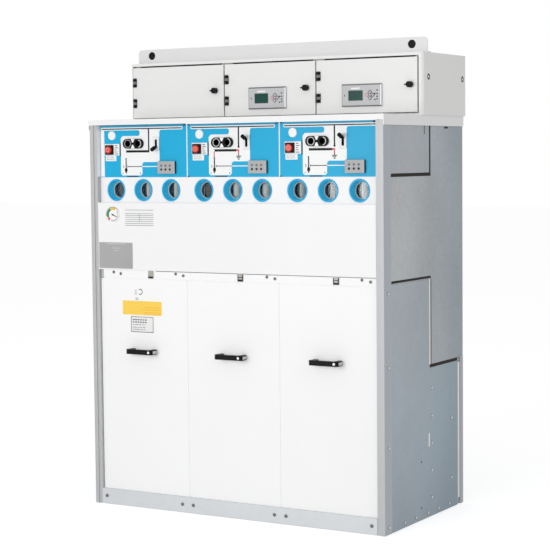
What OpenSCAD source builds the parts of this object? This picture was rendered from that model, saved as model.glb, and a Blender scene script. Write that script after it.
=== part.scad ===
// Three-panel gas insulated switchgear cabinet with a low-voltage box on top.
// Millimetres, +Z up, front toward -Y, origin on the floor at the middle of the footprint.

/* [Cabinet] */
// width over the corner posts
cabinet_w = 1110; // [1000:1:1300]
// depth from post front to rear panel
cabinet_d = 590; // [520:1:700]
// height of the top cover above the floor
cabinet_h = 1308; // [1250:1:1400]
// width of the front face of a corner post
post_w = 28; // [22:1:36]
// depth of the side flange of a corner post
post_d = 50; // [44:1:60]
// depth of the step in a post's front face
post_step = 3; // [2:0.5:5]
// sheet thickness of posts, covers and panels
sheet_t = 2; // [1.5:0.1:2.5]
// width of the dark slots around the tank's side
slot_w = 11; // [6:0.5:14]
// height of the top cover's lip in front
lip_h = 18; // [14:1:24]
// height of the top cover's side flanges
flange_h = 34; // [26:1:44]
// how far the top cover stands past the posts
cover_out = 3; // [2:0.5:6]
// width of the flanges of a rear post
rear_flange = 40; // [30:1:50]
// width of a rear post's outer face beside the slit
corner_w = 24; // [18:1:32]
// width of the slit ahead of a rear post
slit_w = 18; // [12:1:24]
// how far the strip in the slit lies inward
slit_inset = 8; // [6:0.5:12]

/* [Front panels] */
// height of the plinth strip
plinth_h = 53; // [46:1:70]
// how far the cable covers lie behind the post front
cover_recess = 12; // [8:1:16]
// depth of the folded edge of a cable cover
cover_depth = 18; // [14:1:24]
// gap between neighbouring panels
panel_gap = 3; // [2:0.5:6]
// height of the latch strip
strip_h = 27; // [24:1:36]
// height of the middle panel
middle_h = 226; // [200:1:260]
// height of the mimic panels
mimic_h = 174; // [165:1:200]
// how far the upper panels lie behind the post front
panel_recess = 20; // [16:1:26]
// how far the middle panel lies behind the post front
middle_recess = 2; // [1:0.5:16]
// depth of the folded edge of a mimic panel
mimic_depth = 18; // [12:1:22]
// size of a latch: width, height, thickness
latch = [20, 22, 3]; // [2:0.5:40]
// distance of a latch right of its panel's middle
latch_x = 31; // [0:1:60]

/* [Gas tank] */
// height of the tank
tank_h = 789; // [720:1:840]
// wall of the tank
tank_t = 3; // [2.5:0.5:5]
// depth of the mechanism and cable spaces ahead of the tank's rear part
front_space = 334; // [300:1:380]

/* [Windows] */
// pitch of the windows in one panel
window_pitch = 111; // [95:1:120]
// outer radius of the conical window recess
window_r = 37; // [33:0.5:40]
// margin over a window
window_over = 6; // [4:0.5:10]
// margin under a window
window_under = 3.5; // [3:0.5:8]
// radius of the glass seen in a window
pane_r = 28; // [22:0.5:29]
// width of the flat rim around a window recess
window_rim = 3; // [3:0.5:7]
// thickness of a window glass
glass_t = 4; // [3:0.5:6]
// wall of a window surround
surround_t = 2.5; // [2:0.5:4]
// radius of a contact housing behind a window
housing_r = 17; // [12:1:22]
// place of a contact housing: right of the window, behind the tank's front
housing_at = [-16, 21]; // [-60:1:60]

/* [Operating parts] */
// width of the drive socket block
socket_w = 82; // [76:1:95]
// height of the drive socket block
socket_h = 32; // [29:1:40]
// how far the drive socket block stands out
socket_out = 6; // [4:0.5:10]
// radius of a drive socket
socket_r = 10; // [8:0.5:11]
// wall around a drive socket
socket_wall = 2.5; // [2:0.5:3]
// depth of a drive socket
socket_deep = 27; // [22:1:32]
// side of a push button's square bezel
bezel_w = 32; // [28:1:38]
// how far the bezel stands out
bezel_out = 5; // [4:0.5:8]
// radius of the push button
button_r = 11.5; // [8:0.5:12]
// travel of the push button
button_travel = 4; // [2:0.5:6]
// tilt of the selector lever at rest, up or down
lever_tilt = 25; // [15:1:28]
// reach of the selector lever from its pin to the knob's end
lever_reach = 48; // [42:1:60]
// radius of the selector lever's rod
lever_r = 3; // [2.5:0.5:4]
// radius of the selector lever's knob
knob_r = 6.5; // [5:0.5:8]
// length of the selector lever's knob
knob_l = 16; // [12:1:20]
// distance of the lever's pin behind the panel face
lever_back = 17; // [14:1:20]
// side margin of the lever's guide plate
guide_margin = 8.5; // [6:0.5:12]
// size of a voltage indicator: width, height, thickness
indicator = [68, 41, 9]; // [6:0.5:80]
// radius of the pressure gauge
gauge_r = 27; // [20:0.5:32]
// rim of the pressure gauge
gauge_rim = 1.5; // [1:0.5:3]
// how far the gauge stands out
gauge_out = 4; // [3:0.5:8]
// width of the handle on a cable cover
handle_w = 105; // [90:1:130]
// height of the handle's bar
handle_h = 16; // [12:1:24]
// thickness of the handle's bar
handle_t = 10; // [9:0.5:14]
// how far the handle stands out
handle_out = 36; // [34:1:50]
// radius of the cap let into the handle's bar
cap_r = 4.5; // [3:0.5:6]
// distance of the handle below a cover's top
handle_drop = 243; // [180:1:300]

/* [Low-voltage box] */
// overhang of the box past each side of the cabinet
lv_overhang = 10; // [4:1:20]
// depth of the box
lv_d = 324; // [280:1:400]
// height of the box
lv_h = 200; // [180:1:260]
// width of the flanges above and below the doors
lv_flange = 10; // [8:1:16]
// clear gap around a door
door_gap = 5; // [5:0.5:8]
// thickness of a door
door_t = 16; // [12:1:20]
// width of the jamb right of the last door
jamb_w = 22; // [20:1:30]
// bend radius of the jamb's corner
jamb_r = 12; // [6:0.5:14]
// radius of the knock-out holes in the end walls
knock_r = 10; // [7:0.5:14]
// distances of the knock-outs from the box's front and back
knock_in = [38, 23]; // [16:1:80]
// distance of the knock-outs below the box's top
knock_drop = 78; // [30:1:120]
// width of the mullions behind the seams
mullion_w = 44; // [36:1:60]
// height of a hinge
hinge_h = 27; // [26:1:40]
// distance of each hinge from the lock's height
hinge_spread = 36; // [30:1:50]
// radius of a hinge knuckle
knuckle_r = 6; // [5:0.5:7]
// radius of a hinge pin
pin_r = 2.5; // [2:0.1:3]
// running clearance at pins and rods
run_clear = 0.4; // [0.3:0.05:0.6]
// radius of a lock knob
lock_r = 10; // [8:0.5:14]
// height of a lock knob
lock_h = 14; // [10:1:20]
// radius of a lock's spindle
spindle_r = 5; // [4:0.5:6]
// distance of a lock from its door's edge
lock_in = 33; // [32:1:50]
// distance of the last door's lock from its edge
last_lock_in = 24; // [24:1:40]
// size of a lock's cam: width, thickness
cam = [12, 3]; // [2:0.5:16]
// width of a relay's front
relay_w = 145; // [120:1:160]
// height of a relay's front
relay_h = 74; // [60:1:84]
// how far a relay's front stands out
relay_out = 6; // [4:0.5:10]
// depth of a relay's case behind the door
relay_d = 90; // [60:1:100]
// edge of a relay's front around its case
relay_edge = 7; // [5:0.5:10]
// distance of a relay's middle from its door's left edge
relay_in = 170; // [120:1:180]
// drop of a relay's middle below the locks
relay_drop = 30; // [20:1:36]
// height of the lifting rail
rail_h = 50; // [44:1:70]
// thickness of the lifting rail
rail_t = 3; // [2.5:0.5:5]
// width of the lifting rail's foot
rail_foot = 25; // [20:1:40]
// radius of the lifting rail's upper corners
rail_r = 15; // [8:1:20]
// radius of the lifting holes
lift_r = 14; // [10:0.5:16]
// distance of a lifting hole from the rail's end
lift_in = 56; // [40:1:90]
// distance of a lifting hole from the rail's top
lift_drop = 22; // [18:1:26]

/* [Base] */
// height of the base angles
base_h = 40; // [30:1:46]
// width of the base angles
base_w = 52; // [45:1:60]
// thickness of the base angles
base_t = 4; // [3:0.5:6]
// radius of the floor anchor holes
anchor_r = 7; // [5:0.5:9]
// distance of an anchor hole from the end of its angle
anchor_in = 20; // [14:1:60]

/* [Hidden] */
$fn = 64;
eps = 1;
half_w = cabinet_w / 2;
front_y = -cabinet_d / 2;
rear_y = cabinet_d / 2;
post_in = half_w - post_w;
post_back = front_y + post_d;
panel_pitch = 2 * post_in / 3;
skin_out = half_w - 1;
skin_in = skin_out - sheet_t;
cover_y = front_y + cover_recess;
panel_y = front_y + panel_recess;
middle_y = front_y + middle_recess;
mimic_top = cabinet_h - lip_h - 1;
window_top = mimic_top - mimic_h;
window_z = window_top - window_over - window_r;
window_bottom = window_z - window_r - window_under;
middle_top = window_bottom - panel_gap / 2;
middle_bottom = middle_top - middle_h;
strip_top = middle_bottom - 1;
strip_z = strip_top - strip_h;
cover_top = strip_z - panel_gap / 2;
handle_z = cover_top - handle_drop;
tank_y = front_y + front_space + slot_w / 2;
sheet_end = tank_y - slot_w;
tank_top = cabinet_h - lip_h;
tank_bottom = tank_top - tank_h;
shelf_top = window_top - sheet_t;
shelf_low = strip_z + slot_w + panel_gap;
slit_y = rear_y - corner_w;
rear_in = half_w - rear_flange - 1;
anchor_x = skin_in - base_w / 2;
anchor_y = -post_back - anchor_in;
lv_half = half_w + lv_overhang;
lv_y = rear_y - lv_d;
lv_floor_z = cabinet_h + sheet_t;
lv_top = cabinet_h + lv_h;
seams = [-panel_pitch / 2 - 7, panel_pitch / 2 - 2];
jamb_x = lv_half - jamb_w + door_gap;
door_z0 = cabinet_h + lv_flange;
door_z1 = lv_top - lv_flange - door_gap;
lock_z = (door_z0 + door_z1) / 2;
hinge_z = [lock_z - hinge_spread, lock_z + hinge_spread];
relay_z = lock_z - relay_drop;
pin_y = lv_y - knuckle_r / 2;
pin_in = knuckle_r + 2;
notch_w = pin_in + knuckle_r + 2;
mullion_y = lv_y + door_t + 7;
cam_y = mullion_y + sheet_t + door_gap;
rail_y = lv_y + 39;
rail_half = lv_half - 3.5;
lift_x = rail_half - lift_in;
lift_z = lv_top + rail_h - lift_drop;
cheek_in = 2 * lever_r;
cheek_out = cheek_in + pin_r;
lever_swing = (lever_back + sheet_t) * tan(lever_tilt) + lever_r / cos(lever_tilt) + 2;
lever_pin = [54, panel_y + lever_back, window_top + 111];
button_at = [-136, window_top + 92];
socket_at = [-37, window_top + 112];
indicator_at = [98, window_top + 32];
gauge_at = [-panel_pitch - 112, middle_top - 41];

// left and right edge of each door: 0 left, 1 centre, 2 right
function door_left(i) = [-lv_half + door_gap, seams[0] + door_gap / 2, seams[1] + door_gap / 2][i];
function door_right(i) = [seams[0] - door_gap / 2, seams[1] - door_gap / 2, lv_half - jamb_w][i];
function pin_x(i) = door_left(i) + pin_in;
function lock_x(i) = door_right(i) - (i == 2 ? last_lock_in : lock_in);
function relay_x(i) = door_left(i) + relay_in;

// block between two corners
module block(a, b) {
    translate(a) cube(b - a);
}

// round bar along Y from one depth to another
module bar_y(x, z, r, y0, y1) {
    translate([x, y0, z]) rotate([-90, 0, 0]) cylinder(r = r, h = y1 - y0);
}

// round bar along X, centred on the origin
module bar_x(r, l) {
    rotate([0, 90, 0]) cylinder(r = r, h = l, center = true);
}

// folded sheet, open to the back, with its face at y
module pan(x0, x1, y, depth, z0, z1) {
    difference() {
        block([x0, y, z0], [x1, y + depth, z1]);
        block([x0 + sheet_t, y + sheet_t, z0 + sheet_t], [x1 - sheet_t, y + depth + eps, z1 - sheet_t]);
    }
}

// mirrored pair, left and right
module pair() {
    children();
    mirror([1, 0, 0]) children();
}

// one copy for each of the three panels
module per_panel() {
    for (i = [-1:1]) {
        translate([i * panel_pitch, 0, 0]) children();
    }
}

// one copy at each window
module per_window() {
    per_panel() for (j = [-1:1]) {
        translate([j * window_pitch, 0, window_z]) children();
    }
}

// Base and frame

// angle on the floor with its anchor holes, right side
module base_rail() {
    difference() {
        union() {
            block([skin_in - base_t, post_back, 0], [skin_in, -post_back, base_h]);
            block([skin_in - base_w, post_back, 0], [skin_in, -post_back, base_t]);
        }
        for (y = [-anchor_y, anchor_y]) {
            translate([anchor_x, y, -eps]) cylinder(r = anchor_r, h = base_t + 2 * eps);
        }
    }
}

module base_frame() {
    color("silver") {
        pair() base_rail();
        block([-rear_in, rear_y - base_t, 0], [rear_in, rear_y, base_h]);
        block([-rear_in, -post_back + eps, 0], [rear_in, rear_y - base_t, base_t]);
    }
}

module plinth_strip() {
    face_y = front_y + 1;
    color("silver") {
        block([-post_in, face_y, 0], [post_in, face_y + sheet_t, plinth_h]);
        block([-post_in, face_y, plinth_h - sheet_t], [post_in, cover_y + cover_depth + post_step, plinth_h]);
    }
}

// bent profile of the right front post, seen from above
module front_post_profile() {
    step_x = half_w - post_w / 2;
    step_y = front_y + post_step;
    return_y = panel_y + post_step;
    t = sheet_t;
    polygon([[half_w, post_back], [half_w, front_y], [step_x, front_y], [step_x, step_y], [post_in, step_y],
        [post_in, return_y], [post_in + t, return_y], [post_in + t, step_y + t], [step_x + t, step_y + t],
        [step_x + t, front_y + t], [half_w - t, front_y + t], [half_w - t, post_back]]);
}

// bent profile of the right rear post, seen from above
module rear_post_profile() {
    t = sheet_t;
    fold_x = half_w - slit_inset - t;
    polygon([[half_w, rear_y], [half_w, slit_y], [fold_x, slit_y], [fold_x, slit_y + t],
        [half_w - t, slit_y + t], [half_w - t, rear_y - t], [half_w - rear_flange, rear_y - t],
        [half_w - rear_flange, rear_y]]);
}

module corner_posts() {
    color("lightgray") pair() {
        linear_extrude(height = cabinet_h - sheet_t) front_post_profile();
        linear_extrude(height = tank_bottom) rear_post_profile();
    }
}

// bright strip lying inward in the slit ahead of each rear post
module slit_strips() {
    x = half_w - slit_inset;
    color("white") pair() block([x - sheet_t, slit_y - slit_w - slit_inset, 0], [x, slit_y, tank_bottom]);
}

// lower sheet beside the cable space and upper sheet beside the mechanisms, with their short slots
module side_sheets() {
    low_z = tank_bottom - slot_w;
    front_z = shelf_low - slot_w;
    slot = [sheet_t + 2 * eps, 6, 33];
    color("darkgray") pair() difference() {
        union() {
            block([skin_in, post_back, 0], [skin_out, slit_y - slit_w, low_z]);
            block([skin_in, post_back, low_z], [skin_out, sheet_end, front_z]);
            block([skin_in, post_back, shelf_top + slot_w], [skin_out, sheet_end, cabinet_h - sheet_t]);
        }
        translate([skin_in - eps, sheet_end - slot[1], low_z / 2 - 10]) cube(slot);
        translate([skin_in - eps, sheet_end - slot[2] - 5, cabinet_h - flange_h - 27]) cube(slot);
    }
}

// Gas tank

// upright walls of the tank, the front one with a hole at each window
module tank_walls() {
    x = skin_out - tank_t;
    color("gray") {
        difference() {
            block([-x, post_back, shelf_low + tank_t], [x, post_back + tank_t, shelf_top - tank_t]);
            per_window() bar_y(0, 0, pane_r - 0.5, post_back - eps, post_back + tank_t + eps);
        }
        block([-x, tank_y, tank_bottom + tank_t], [x, tank_y + tank_t, shelf_low]);
        block([-x, tank_y, shelf_top], [x, tank_y + tank_t, tank_top - tank_t]);
        block([-x, rear_y - tank_t, tank_bottom + tank_t], [x, rear_y, tank_top - tank_t]);
    }
}

// level walls of the tank: floor, roof and the two decks of its front part
module tank_decks() {
    x = skin_out - tank_t;
    color("gray") {
        block([-x, tank_y, tank_bottom], [x, rear_y, tank_bottom + tank_t]);
        block([-x, tank_y, tank_top - tank_t], [x, rear_y, tank_top]);
        block([-x, post_back, shelf_low], [x, tank_y + tank_t, shelf_low + tank_t]);
        block([-x, post_back, shelf_top - tank_t], [x, tank_y + tank_t, shelf_top]);
    }
}

// end plates of the tank, seen between the slots on both sides
module tank_ends() {
    color("gray") pair() {
        block([skin_out - tank_t, tank_y, tank_bottom], [skin_out, rear_y, tank_top]);
        block([skin_out - tank_t, post_back, shelf_low], [skin_out, tank_y, shelf_top]);
    }
}

module rear_panel() {
    color("silver") block([-rear_in, rear_y - sheet_t, base_h], [rear_in, rear_y, tank_bottom]);
}

module top_cover() {
    x = half_w + cover_out;
    y = front_y - cover_out;
    color("whitesmoke") {
        block([-x, y, cabinet_h - sheet_t], [x, rear_y, cabinet_h]);
        block([-x, y, cabinet_h - lip_h], [x, y + sheet_t, cabinet_h]);
        pair() block([x - sheet_t, y, cabinet_h - flange_h], [x, rear_y, cabinet_h]);
    }
}

// Cable covers and latches

module cable_cover(i) {
    x = i * panel_pitch;
    half = (panel_pitch - panel_gap) / 2;
    color("white") pan(x - half, x + half, cover_y, cover_depth, plinth_h, cover_top);
}

module left_cable_cover() { cable_cover(-1); }
module centre_cable_cover() { cable_cover(0); }
module right_cable_cover() { cable_cover(1); }

// bow handle seen from above: upright feet a little inside a straight bar with cut corners
module handle_profile() {
    inset = 3;
    foot = 14;
    cut = 5;
    half = handle_w / 2;
    out = half - inset;
    inner = handle_t - handle_out;
    polygon([[-out, 0], [-half, cut - handle_out], [cut - half, -handle_out], [half - cut, -handle_out],
        [half, cut - handle_out], [out, 0], [out - foot, 0], [out - foot, inner + cut],
        [out - foot - cut, inner], [foot + cut - out, inner], [foot - out, inner + cut], [foot - out, 0]]);
}

module cover_handles() {
    face_y = cover_y - handle_out;
    cap_x = handle_w / 2 - 3 * cap_r;
    color("black") per_panel() difference() {
        translate([0, cover_y, handle_z - handle_h / 2]) linear_extrude(height = handle_h) handle_profile();
        bar_y(cap_x, handle_z, cap_r, face_y - eps, face_y + 1);
    }
}

module latch_strip() {
    x0 = -post_in + 12;
    color("whitesmoke") {
        block([x0, cover_y, strip_z], [post_in, cover_y + sheet_t, strip_top]);
        block([x0, cover_y, strip_top - sheet_t], [post_in, post_back, strip_top]);
    }
}

// catch of each cover with a slot for the turnkey
module cover_latches() {
    z0 = strip_z + panel_gap / 2;
    slot = [latch[0] * 0.6, latch[1] * 0.28];
    color("silver") per_panel() translate([latch_x, cover_y, z0]) difference() {
        block([-latch[0] / 2, -latch[2], 0], [latch[0] / 2, 0, latch[1]]);
        translate([-slot[0] / 2, -latch[2] - eps, panel_gap / 2]) cube([slot[0], latch[2], slot[1]]);
    }
}

// Upper panels

module middle_panel() {
    color("white") pan(-post_in, post_in, middle_y, post_back - middle_y, middle_bottom, middle_top);
}

module window_panel() {
    color("white") difference() {
        pan(-post_in, post_in, panel_y, post_back - panel_y, window_bottom, window_top);
        per_window() bar_y(0, 0, window_r + run_clear, panel_y - eps, panel_y + sheet_t + eps);
    }
}

// conical recess around each window glass
module window_surrounds() {
    depth = post_back - glass_t - panel_y;
    color("deepskyblue") per_window() translate([0, panel_y, 0]) rotate([-90, 0, 0]) rotate_extrude()
        polygon([[pane_r, depth], [window_r - window_rim, 0], [window_r, 0], [window_r, surround_t],
            [pane_r + surround_t, depth]]);
}

module window_glasses() {
    color("lightblue") per_window() bar_y(0, 0, pane_r + 2, post_back - glass_t, post_back);
}

// grey drum of each switching contact, standing in the tank and seen through the glass
module contact_housings() {
    z0 = shelf_low + tank_t;
    color("lightgray") per_panel() for (j = [-1:1]) {
        translate([j * window_pitch + housing_at[0], post_back + tank_t + housing_at[1], z0])
            cylinder(r = housing_r, h = shelf_top - tank_t - z0);
    }
}

// square hole in a front panel's face, given its middle and half sizes
module panel_hole(x, z, w, h) {
    block([x - w, panel_y - eps, z - h], [x + w, panel_y + sheet_t + eps, z + h]);
}

// blue front panel with the holes for its fittings
module mimic_panel(i) {
    x = i * panel_pitch;
    half = panel_pitch / 2 - panel_gap * 0.75;
    barrel = socket_r + socket_wall + run_clear;
    color("deepskyblue") difference() {
        pan(x - half, x + half, panel_y, mimic_depth, window_top, mimic_top);
        panel_hole(x + socket_at[0], socket_at[1], socket_w / 4 + barrel, barrel);
        panel_hole(x + button_at[0], button_at[1], button_r + 1, button_r + 1);
        panel_hole(x + lever_pin[0], lever_pin[2], cheek_out + 1, lever_swing + 2);
    }
}

module left_mimic_panel() { mimic_panel(-1); }
module centre_mimic_panel() { mimic_panel(0); }
module right_mimic_panel() { mimic_panel(1); }

// black block with two sockets for the operating handle
module socket_block(i) {
    r = socket_h / 2;
    end_y = panel_y - socket_out + socket_deep;
    color("black") translate([i * panel_pitch + socket_at[0], 0, socket_at[1]]) difference() {
        union() {
            translate([0, panel_y, 0]) rotate([90, 0, 0]) linear_extrude(height = socket_out) {
                square([socket_w - 2 * r, socket_h], center = true);
                for (s = [-1, 1]) {
                    translate([s * (socket_w / 2 - r), 0]) circle(r = r);
                }
            }
            for (s = [-1, 1]) {
                bar_y(s * socket_w / 4, 0, socket_r + socket_wall, panel_y - eps, end_y + 3);
            }
        }
        for (s = [-1, 1]) {
            bar_y(s * socket_w / 4, 0, socket_r, panel_y - socket_out - eps, end_y);
        }
    }
}

module left_drive_sockets() { socket_block(-1); }
module centre_drive_sockets() { socket_block(0); }
module right_drive_sockets() { socket_block(1); }

module button_bezels() {
    color("black") per_panel() translate([button_at[0], 0, button_at[1]]) difference() {
        block([-bezel_w / 2, panel_y - bezel_out, -bezel_w / 2], [bezel_w / 2, panel_y, bezel_w / 2]);
        bar_y(0, 0, button_r + run_clear, panel_y - bezel_out - eps, panel_y + eps);
    }
}

module off_button(i) {
    face_y = panel_y - bezel_out - button_travel - 3;
    color("red") bar_y(i * panel_pitch + button_at[0], button_at[1], button_r, face_y, panel_y + 9);
}

module left_off_button() { off_button(-1); }
module centre_off_button() { off_button(0); }
module right_off_button() { off_button(1); }

// slotted guide plate with the two cheeks that hold the lever's pin
module selector_guides() {
    slot = [lever_r + 1.5, lever_swing];
    plate = [slot[0] + guide_margin, slot[1] + guide_margin];
    cheek_h = 12;
    color("gainsboro") per_panel() translate(lever_pin) difference() {
        union() {
            block([-plate[0], -lever_back - sheet_t, -plate[1]], [plate[0], -lever_back, plate[1]]);
            pair() block([cheek_in, -lever_back, -cheek_h], [cheek_out, 3 * pin_r, cheek_h]);
        }
        block([-slot[0], -lever_back - sheet_t - eps, -slot[1]], [slot[0], eps - lever_back, slot[1]]);
        bar_x(pin_r + run_clear, 4 * cheek_out);
    }
}

// lever with a round knob, tipping on its pin
module selector_lever(i, tilt) {
    color("black") translate(lever_pin + [i * panel_pitch, 0, 0]) {
        bar_x(2 * pin_r, 2 * cheek_in - 1);
        bar_x(pin_r, 2 * cheek_out);
        rotate([-tilt, 0, 0]) {
            bar_y(0, 0, lever_r, -lever_reach + knob_l / 2, 0);
            bar_y(0, 0, knob_r, -lever_reach, -lever_reach + knob_l);
        }
    }
}

module left_selector_lever() { selector_lever(-1, -lever_tilt); }
module centre_selector_lever() { selector_lever(0, lever_tilt); }
module right_selector_lever() { selector_lever(1, lever_tilt); }

module voltage_indicators() {
    color("gray") per_panel() translate([indicator_at[0], panel_y, indicator_at[1]]) {
        block([-indicator[0] / 2, -indicator[2], -indicator[1] / 2], [indicator[0] / 2, 0, indicator[1] / 2]);
    }
}

module pressure_gauge() {
    color("white") translate([gauge_at[0], middle_y, gauge_at[1]]) difference() {
        bar_y(0, 0, gauge_r, -gauge_out, 0);
        bar_y(0, 0, gauge_r - gauge_rim, -gauge_out - eps, eps - gauge_out);
    }
}

// Low-voltage box

module lv_floor() {
    color("whitesmoke") {
        block([-lv_half, lv_y, cabinet_h], [lv_half, rear_y, lv_floor_z]);
        block([-lv_half, lv_y, cabinet_h], [jamb_x, lv_y + sheet_t, door_z0 - door_gap]);
    }
}

module lv_roof() {
    color("whitesmoke") {
        block([-lv_half, lv_y, lv_top - sheet_t], [lv_half, rear_y, lv_top]);
        block([-lv_half, lv_y, lv_top - lv_flange], [lv_half - jamb_r, lv_y + sheet_t, lv_top]);
    }
}

module lv_rear_wall() {
    x = lv_half - sheet_t;
    color("whitesmoke") block([-x, rear_y - sheet_t, lv_floor_z], [x, rear_y, lv_top - sheet_t]);
}

// left end wall, and the right one with its bent jamb, both with knock-out holes
module lv_end_walls() {
    bend = [lv_half - jamb_r, lv_y + jamb_r];
    color("whitesmoke") difference() {
        end_wall_sheets(bend);
        for (y = [lv_y + knock_in[0], rear_y - knock_in[1]]) {
            translate([0, y, lv_top - knock_drop]) bar_x(knock_r, 2 * lv_half + eps);
        }
    }
}

module end_wall_sheets(bend) {
    union() {
        block([-lv_half, lv_y + sheet_t, lv_floor_z], [-lv_half + sheet_t, rear_y, lv_top - sheet_t]);
        block([jamb_x, lv_y, lv_floor_z], [bend[0], lv_y + sheet_t, lv_top - lv_flange]);
        translate([0, 0, lv_floor_z]) linear_extrude(height = lv_top - sheet_t - lv_floor_z) {
            translate([lv_half - sheet_t, bend[1]]) square([sheet_t, rear_y - bend[1]]);
            intersection() {
                difference() {
                    translate(bend) circle(r = jamb_r);
                    translate(bend) circle(r = jamb_r - sheet_t);
                }
                translate([bend[0], lv_y]) square(jamb_r);
            }
        }
    }
}

// door frame: uprights behind the outer edges and the two seams, and a low rail behind the sill
module lv_mullions() {
    z = [lv_floor_z, lv_top - sheet_t];
    y = [mullion_y, mullion_y + sheet_t];
    x = lv_half - sheet_t;
    rail = [mullion_y + sheet_t + 0.5, door_z0 + mullion_w / 5];
    color("whitesmoke") {
        for (x = seams) {
            block([x - mullion_w / 2, y[0], z[0]], [x + mullion_w / 2, y[1], z[1]]);
        }
        block([-x, y[0], z[0]], [-lv_half + mullion_w / 2, y[1], z[1]]);
        block([door_right(2) + door_gap - mullion_w / 2, y[0], z[0]], [x, y[1], z[1]]);
        block([-x, rail[0], z[0]], [x, rail[0] + sheet_t, rail[1]]);
    }
}

// fixed half of each hinge: two knuckles, the pin and the block behind them
module lv_hinges() {
    mid = hinge_h / 6 + run_clear;
    ear = hinge_h / 2 - mid;
    color("black") for (i = [0:2], z = hinge_z) {
        translate([pin_x(i), pin_y, z]) {
            for (s = [-hinge_h / 2, mid]) {
                translate([0, 0, s]) cylinder(r = knuckle_r, h = ear);
                block([-knuckle_r, 0, s], [knuckle_r, knuckle_r + 2, s + ear]);
            }
            block([-knuckle_r, knuckle_r + 1.5, -hinge_h / 2], [knuckle_r, mullion_y - pin_y, hinge_h / 2]);
            translate([0, 0, -hinge_h / 2 + 1]) cylinder(r = pin_r, h = hinge_h - 2);
        }
    }
}

// moving half of each hinge on one door: the middle knuckle with its arm to the door
module door_knuckles(i) {
    half = hinge_h / 6;
    color("silver") for (z = hinge_z) {
        translate([pin_x(i), pin_y, z]) difference() {
            union() {
                translate([0, 0, -half]) cylinder(r = knuckle_r - 0.5, h = 2 * half);
                block([0, -knuckle_r / 2, -half], [notch_w - pin_in, knuckle_r - 1, half]);
            }
            translate([0, 0, -half - eps]) cylinder(r = pin_r + run_clear, h = 2 * half + 2 * eps);
        }
    }
}

module left_door_knuckles() { door_knuckles(0); }
module centre_door_knuckles() { door_knuckles(1); }
module right_door_knuckles() { door_knuckles(2); }

// folded door with its hinge notches, lock hole and relay cut-out
module lv_door(i) {
    x0 = door_left(i);
    notch_h = hinge_h / 2 + door_gap / 2;
    cut = [relay_w / 2 - relay_edge + run_clear, relay_h / 2 - relay_edge + run_clear];
    color("white") difference() {
        pan(x0, door_right(i), lv_y, door_t, door_z0, door_z1);
        for (z = hinge_z) {
            block([x0 - eps, lv_y - eps, z - notch_h], [x0 + notch_w, lv_y + door_t + eps, z + notch_h]);
        }
        bar_y(lock_x(i), lock_z, spindle_r + run_clear, lv_y - eps, lv_y + sheet_t + eps);
        if (i > 0) {
            block([relay_x(i) - cut[0], lv_y - eps, relay_z - cut[1]],
                [relay_x(i) + cut[0], lv_y + sheet_t + eps, relay_z + cut[1]]);
        }
    }
}

module left_lv_door() { lv_door(0); }
module centre_lv_door() { lv_door(1); }
module right_lv_door() { lv_door(2); }

// quarter-turn lock: round knob with a pointer, spindle and cam
module door_lock(i) {
    face = -lock_h - 1;
    back = cam_y - lv_y;
    pointer = [lock_r + 6, 5, 2];
    color("black") translate([lock_x(i), lv_y, lock_z]) {
        bar_y(0, 0, lock_r, face, -1);
        block([-pointer[0], face, -pointer[2]], [0, face + pointer[1], pointer[2]]);
        bar_y(0, 0, spindle_r, -2, back + cam[1]);
        block([-cam[0] / 2, back, -lock_in], [cam[0] / 2, back + cam[1], cam[0] / 2]);
    }
}

module left_door_lock() { door_lock(0); }
module centre_door_lock() { door_lock(1); }
module right_door_lock() { door_lock(2); }

// protection relay let into a door
module relay(i) {
    half = [relay_w / 2, relay_h / 2];
    case = [half[0] - relay_edge, half[1] - relay_edge];
    color("dimgray") translate([relay_x(i), lv_y, relay_z]) {
        block([-half[0], -relay_out, -half[1]], [half[0], 0, half[1]]);
        block([-case[0], -eps, -case[1]], [case[0], relay_d, case[1]]);
    }
}

module centre_relay() { relay(1); }
module right_relay() { relay(2); }

// rail's face with round upper corners
module rail_face() {
    square([2 * rail_half, rail_h - rail_r]);
    translate([rail_r, 0]) square([2 * rail_half - 2 * rail_r, rail_h]);
    for (x = [rail_r, 2 * rail_half - rail_r]) {
        translate([x, rail_h - rail_r]) circle(r = rail_r);
    }
}

module lifting_rail() {
    color("whitesmoke") {
        difference() {
            translate([-rail_half, rail_y + rail_t, lv_top]) rotate([90, 0, 0])
                linear_extrude(height = rail_t) rail_face();
            for (x = [-lift_x, lift_x]) {
                bar_y(x, lift_z, lift_r, rail_y - eps, rail_y + rail_t + eps);
            }
        }
        block([-rail_half, rail_y, lv_top], [rail_half, rail_y + rail_foot, lv_top + rail_t]);
    }
}

base_frame();
plinth_strip();
corner_posts();
slit_strips();
side_sheets();
tank_walls();
tank_decks();
tank_ends();
rear_panel();
top_cover();
left_cable_cover();
centre_cable_cover();
right_cable_cover();
cover_handles();
latch_strip();
cover_latches();
middle_panel();
window_panel();
window_surrounds();
window_glasses();
contact_housings();
left_mimic_panel();
centre_mimic_panel();
right_mimic_panel();
left_drive_sockets();
centre_drive_sockets();
right_drive_sockets();
button_bezels();
left_off_button();
centre_off_button();
right_off_button();
selector_guides();
left_selector_lever();
centre_selector_lever();
right_selector_lever();
voltage_indicators();
pressure_gauge();
lv_floor();
lv_roof();
lv_rear_wall();
lv_end_walls();
lv_mullions();
lv_hinges();
left_lv_door();
centre_lv_door();
right_lv_door();
left_door_knuckles();
centre_door_knuckles();
right_door_knuckles();
left_door_lock();
centre_door_lock();
right_door_lock();
centre_relay();
right_relay();
lifting_rail();
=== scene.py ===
"""Looks of a three-panel gas insulated switchgear cabinet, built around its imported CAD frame."""

import math

import bpy
from mathutils import Matrix, Vector
from mathutils.geometry import tessellate_polygon


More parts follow.
